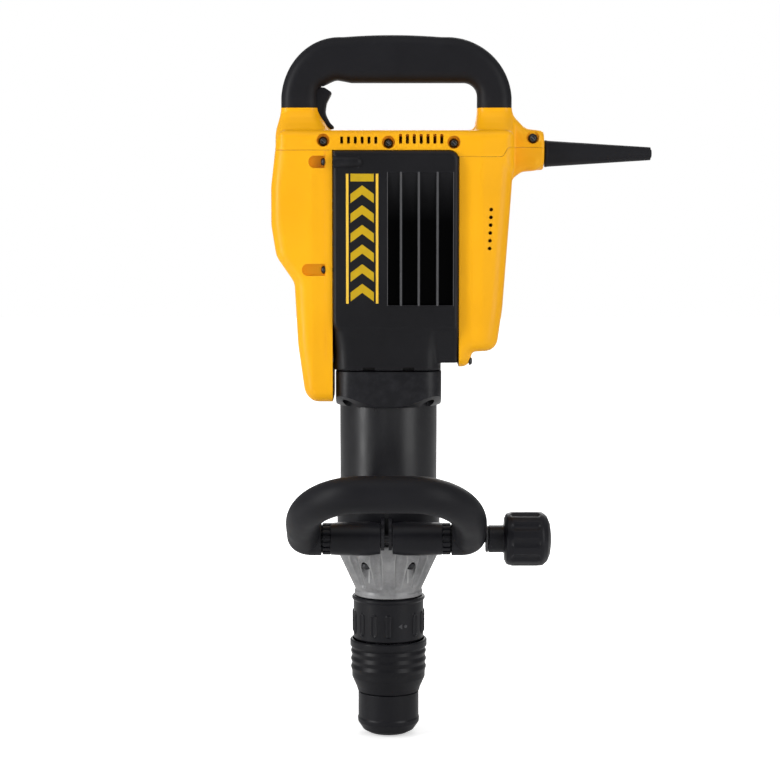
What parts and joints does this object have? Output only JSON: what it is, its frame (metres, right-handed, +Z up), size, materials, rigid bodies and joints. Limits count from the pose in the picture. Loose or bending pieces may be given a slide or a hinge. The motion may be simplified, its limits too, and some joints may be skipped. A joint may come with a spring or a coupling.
{
  "type": "demolition hammer",
  "caption": "Two-hand electric demolition hammer: D-handle with trigger on top, crank-driven striker in a barrel, indexing chisel chuck below and a swivelling loop handle clamped on the barrel.",
  "frame": {"origin": "the bottom centre of the bounding box: level with the open end of the nose. The hammer (striking) axis stands at x -0.0751, y 0.06435", "axes": "+Z up along the hammer axis towards the D-handle, +X towards the power cord, -Y towards the loop handle"},
  "size_m": [0.3938, 0.2431, 0.73],
  "materials": {
    "yellow_plastic": "satin moulded yellow glass-filled plastic",
    "grip_rubber": "soft black overmoulded rubber, fine matt texture",
    "black_plastic": "satin black moulded plastic",
    "black_paint": "satin black paint on cast metal",
    "barrel_paint": "semi-gloss black paint on steel tube",
    "cast_aluminium": "as-cast, light grey",
    "steel": "machined and zinc-plated steel",
    "dark_steel": "blackened steel",
    "copper": "varnished copper windings and commutator",
    "brass": "brass"
  },
  "bodies": {
    "body": {"gearcase": "black_paint", "drive_cover": "yellow_plastic", "motor_cover": "yellow_plastic", "handle_shell_front": "yellow_plastic", "handle_shell_back": "yellow_plastic", "grip": "grip_rubber", "switch_module": "black_plastic", "trigger_pin": "steel", "cord_sleeve": "grip_rubber", "power_cord": "grip_rubber", "barrel_flange": "black_paint", "barrel_tube": "barrel_paint", "cylinder": "steel", "nose_cone": "cast_aluminium", "field_stack": "dark_steel", "brush_holder_front": "brass", "brush_holder_back": "brass", "crank_bearing": "steel", "handle_screw_1": "steel", "handle_screw_2": "steel", "handle_screw_3": "steel", "handle_screw_4": "steel", "drive_cover_screw_front_upper": "steel", "drive_cover_screw_front_lower": "steel", "drive_cover_screw_back_upper": "steel", "drive_cover_screw_back_lower": "steel", "motor_cover_screw_front": "steel", "motor_cover_screw_back": "steel", "flange_screw_left_front": "steel", "flange_screw_left_back": "steel", "flange_screw_right_front": "steel", "flange_screw_right_back": "steel", "nose_screw_front_right": "steel", "nose_screw_back_right": "steel", "nose_screw_back_left": "steel", "nose_screw_front_left": "steel"},
    "trigger": {"trigger": "black_plastic"},
    "crank": {"crank_gear": "steel", "crankshaft": "steel"},
    "intermediate": {"intermediate_gear": "steel"},
    "armature": {"armature_shaft": "steel", "armature_core": "copper", "cooling_fan": "black_plastic"},
    "piston": {"piston": "cast_aluminium", "wrist_pin": "steel", "connecting_rod": "steel", "crank_pin": "steel"},
    "ram": {"ram": "steel"},
    "impact_bolt": {"impact_bolt": "steel"},
    "chuck": {"tool_holder": "steel", "index_collar": "black_plastic", "nose_cap": "grip_rubber"},
    "locking_sleeve": {"locking_sleeve": "grip_rubber"},
    "clamp": {"clamp_band": "dark_steel", "clamp_sleeve_left": "black_plastic", "clamp_sleeve_right": "black_plastic", "clamp_bolt": "steel"},
    "loop": {"loop_handle": "grip_rubber"},
    "knob_carriage": {"knob_washer": "steel"},
    "knob": {"clamp_knob": "black_plastic"}
  },
  "joints": [
    {"name": "trigger_pull", "type": "hinge", "parent": "body", "child": "trigger", "pos_m": [-0.1431, 0.06435, 0.6385], "axis": [0, -1, 0], "range_deg": [0, 6], "stiffness_Nm_per_rad": 0.5, "springref_deg": -2.86},
    {"name": "crank_spin", "type": "hinge", "parent": "body", "child": "crank", "pos_m": [-0.1251, 0.06435, 0.466], "axis": [1, 0, 0], "continuous": true},
    {"name": "intermediate_spin", "type": "hinge", "parent": "body", "child": "intermediate", "pos_m": [-0.1511, 0.06435, 0.5185], "axis": [1, 0, 0], "continuous": true},
    {"name": "armature_spin", "type": "hinge", "parent": "body", "child": "armature", "pos_m": [-0.0751, 0.06435, 0.556], "axis": [1, 0, 0], "continuous": true},
    {"name": "piston_slide", "type": "slide", "parent": "body", "child": "piston", "axis": [0, 0, -1], "range_m": [0, 0.036], "stiffness_N_per_m": 2500, "springref_m": -0.00144},
    {"name": "ram_slide", "type": "slide", "parent": "body", "child": "ram", "axis": [0, 0, -1], "range_m": [-0.008, 0.01], "stiffness_N_per_m": 2500, "springref_m": -0.00224},
    {"name": "impact_bolt_slide", "type": "slide", "parent": "body", "child": "impact_bolt", "axis": [0, 0, 1], "range_m": [-0.005, 0.005], "stiffness_N_per_m": 2500, "springref_m": 0.00226},
    {"name": "chuck_index", "type": "hinge", "parent": "body", "child": "chuck", "pos_m": [-0.0751, 0.06435, 0.1], "axis": [0, 0, 1], "continuous": true},
    {"name": "locking_sleeve_pull", "type": "slide", "parent": "chuck", "child": "locking_sleeve", "axis": [0, 0, 1], "range_m": [0, 0.01], "stiffness_N_per_m": 300, "springref_m": -0.008},
    {"name": "clamp_swivel", "type": "hinge", "parent": "body", "child": "clamp", "pos_m": [-0.0751, 0.06435, 0.218], "axis": [0, 0, 1], "continuous": true},
    {"name": "loop_tilt", "type": "hinge", "parent": "clamp", "child": "loop", "pos_m": [-0.0771, -0.00765, 0.218], "axis": [1, 0, 0], "range_deg": [-40, 75], "stiffness_Nm_per_rad": 4, "springref_deg": -3.64},
    {"name": "knob_advance", "type": "slide", "parent": "clamp", "child": "knob_carriage", "axis": [1, 0, 0], "range_m": [0, 0.0025]},
    {"name": "knob_turn", "type": "hinge", "parent": "knob_carriage", "child": "knob", "pos_m": [0.0449, -0.00765, 0.218], "axis": [1, 0, 0], "range_deg": [0, 720]}
  ],
  "couplings": [
    {"joint": "intermediate_spin", "follows": "crank_spin", "ratio": -4},
    {"joint": "armature_spin", "follows": "crank_spin", "ratio": 16},
    {"joint": "knob_turn", "follows": "knob_advance", "rad_per_m": 5026.5}
  ]
}
